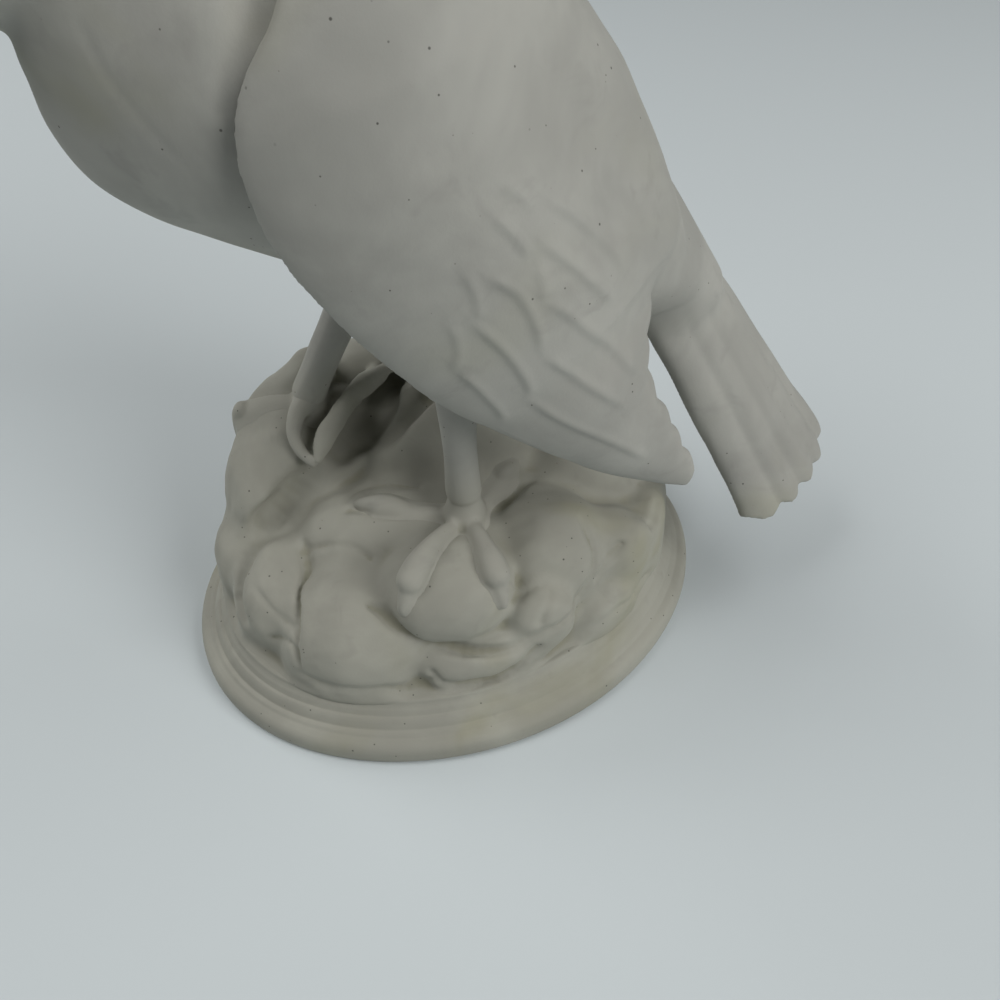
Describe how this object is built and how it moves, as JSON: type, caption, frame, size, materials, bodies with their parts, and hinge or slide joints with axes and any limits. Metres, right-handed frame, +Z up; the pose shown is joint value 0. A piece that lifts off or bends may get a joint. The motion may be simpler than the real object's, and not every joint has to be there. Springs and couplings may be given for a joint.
{
  "type": "falcon figurine",
  "caption": "Unglazed porcelain falcon leaning forward on a rock mound, with folded wings and a fanned tail, standing on a low stepped oval plinth.",
  "frame": {"origin": "Centre of the bounding box in plan, on the surface the plinth stands on.", "axes": "+Z up; the falcon looks towards -X and its tail points to +X; its left side faces -Y."},
  "size_m": [0.2276, 0.1298, 0.2275],
  "materials": {
    "bird_bisque": "matte unglazed bisque porcelain",
    "base_bisque": "matte unglazed bisque porcelain, faintly stained"
  },
  "bodies": {
    "root": {"plinth": "base_bisque", "rock_mound": "base_bisque", "left_foot": "bird_bisque", "right_foot": "bird_bisque", "left_leg": "bird_bisque", "right_leg": "bird_bisque", "torso": "bird_bisque", "tail": "bird_bisque", "left_wing": "bird_bisque", "right_wing": "bird_bisque", "head": "bird_bisque"}
  },
  "joints": []
}
